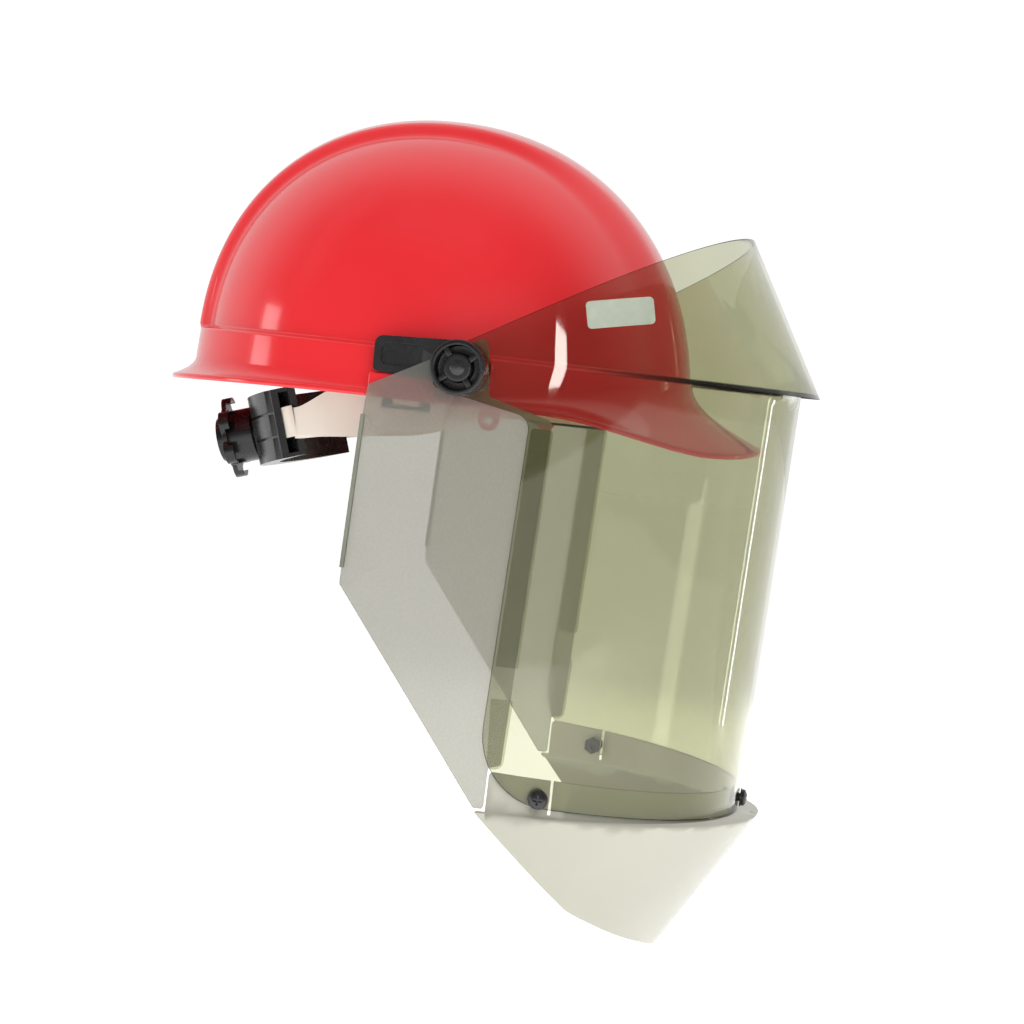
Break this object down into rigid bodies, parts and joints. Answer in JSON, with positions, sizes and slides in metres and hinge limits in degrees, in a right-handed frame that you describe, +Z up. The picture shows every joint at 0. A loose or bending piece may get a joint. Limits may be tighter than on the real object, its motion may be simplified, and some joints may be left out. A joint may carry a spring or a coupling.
{
  "type": "hard hat",
  "caption": "Cap-style hard hat with ratchet headband and a tinted flip-up face shield with frosted side guards and a chin guard.",
  "frame": {"origin": "middle of the shell on the plane of its lower rim, where the head enters", "axes": "+Z up out of the crown, -Y the way the wearer faces, -X the wearer's right"},
  "size_m": [0.261, 0.3227, 0.393],
  "materials": {
    "shell_plastic": "high-gloss moulded, red",
    "black_plastic": "fine moulded texture, black",
    "stud_metal": "turned, bright",
    "washer_plastic": "smooth nylon",
    "tinted_window": "clear green-grey tint, polished",
    "frosted_panel": "frosted, fine moulded grain",
    "trim_plastic": "satin edging, grey-green",
    "strip_plastic": "tinted, satin",
    "chin_plastic": "satin, pale grey-green",
    "black_steel": "black oxide, satin",
    "label_film": "silver-green film, blank",
    "headband_plastic": "flexible nylon, ivory",
    "brow_foam": "quilted terry over foam, black",
    "webbing": "woven polyester strap, ivory",
    "key_plastic": "moulded, grey"
  },
  "bodies": {
    "hat": {"shell": "shell_plastic", "chinstrap_eyelets": "shell_plastic", "friction_washers": "washer_plastic", "headband": "headband_plastic", "brow_pad": "brow_foam", "crown_strap_lower": "webbing", "crown_strap_upper": "webbing", "ratchet_housing": "black_plastic", "ratchet_cover": "black_plastic", "shield_adapter_right": "black_plastic", "pivot_stud_right": "stud_metal", "pivot_bush_right": "washer_plastic", "suspension_key_front_right": "key_plastic", "suspension_key_rear_right": "key_plastic", "shield_adapter_left": "black_plastic", "pivot_stud_left": "stud_metal", "pivot_bush_left": "washer_plastic", "suspension_key_front_left": "key_plastic", "suspension_key_rear_left": "key_plastic"},
    "shield": {"faceshield_window": "tinted_window", "blank_label": "label_film", "chin_guard": "chin_plastic", "chin_screws": "black_steel", "chin_washers": "black_steel", "chin_nuts": "black_steel", "side_guard_right": "frosted_panel", "guard_edge_trim_right": "trim_plastic", "joint_strip_upper_right": "strip_plastic", "joint_strip_lower_right": "strip_plastic", "side_guard_left": "frosted_panel", "guard_edge_trim_left": "trim_plastic", "joint_strip_upper_left": "strip_plastic", "joint_strip_lower_left": "strip_plastic"},
    "ratchet_knob": {"ratchet_pinion": "black_plastic", "ratchet_pawl_spring": "black_plastic", "ratchet_knob": "black_plastic", "ratchet_knob_screw": "black_steel"},
    "knob_right": {"tension_knob_right": "black_plastic", "knob_insert_right": "stud_metal", "knob_cap_right": "black_plastic"},
    "knob_left": {"tension_knob_left": "black_plastic", "knob_insert_left": "stud_metal", "knob_cap_left": "black_plastic"}
  },
  "joints": [
    {"name": "shield_tilt", "type": "hinge", "parent": "hat", "child": "shield", "pos_m": [0, -0.0275, 0.0175], "axis": [-1, 0, 0], "range_deg": [0, 85]},
    {"name": "ratchet_turn", "type": "hinge", "parent": "hat", "child": "ratchet_knob", "pos_m": [0, 0.086, -0.0243], "axis": [0, 0.9532, -0.3024], "continuous": true},
    {"name": "tension_turn_right", "type": "hinge", "parent": "hat", "child": "knob_right", "pos_m": [-0.124, -0.0275, 0.0175], "axis": [-1, 0, 0], "range_deg": [-360, 90]},
    {"name": "tension_turn_left", "type": "hinge", "parent": "hat", "child": "knob_left", "pos_m": [0.124, -0.0275, 0.0175], "axis": [1, 0, 0], "range_deg": [-360, 90]}
  ]
}
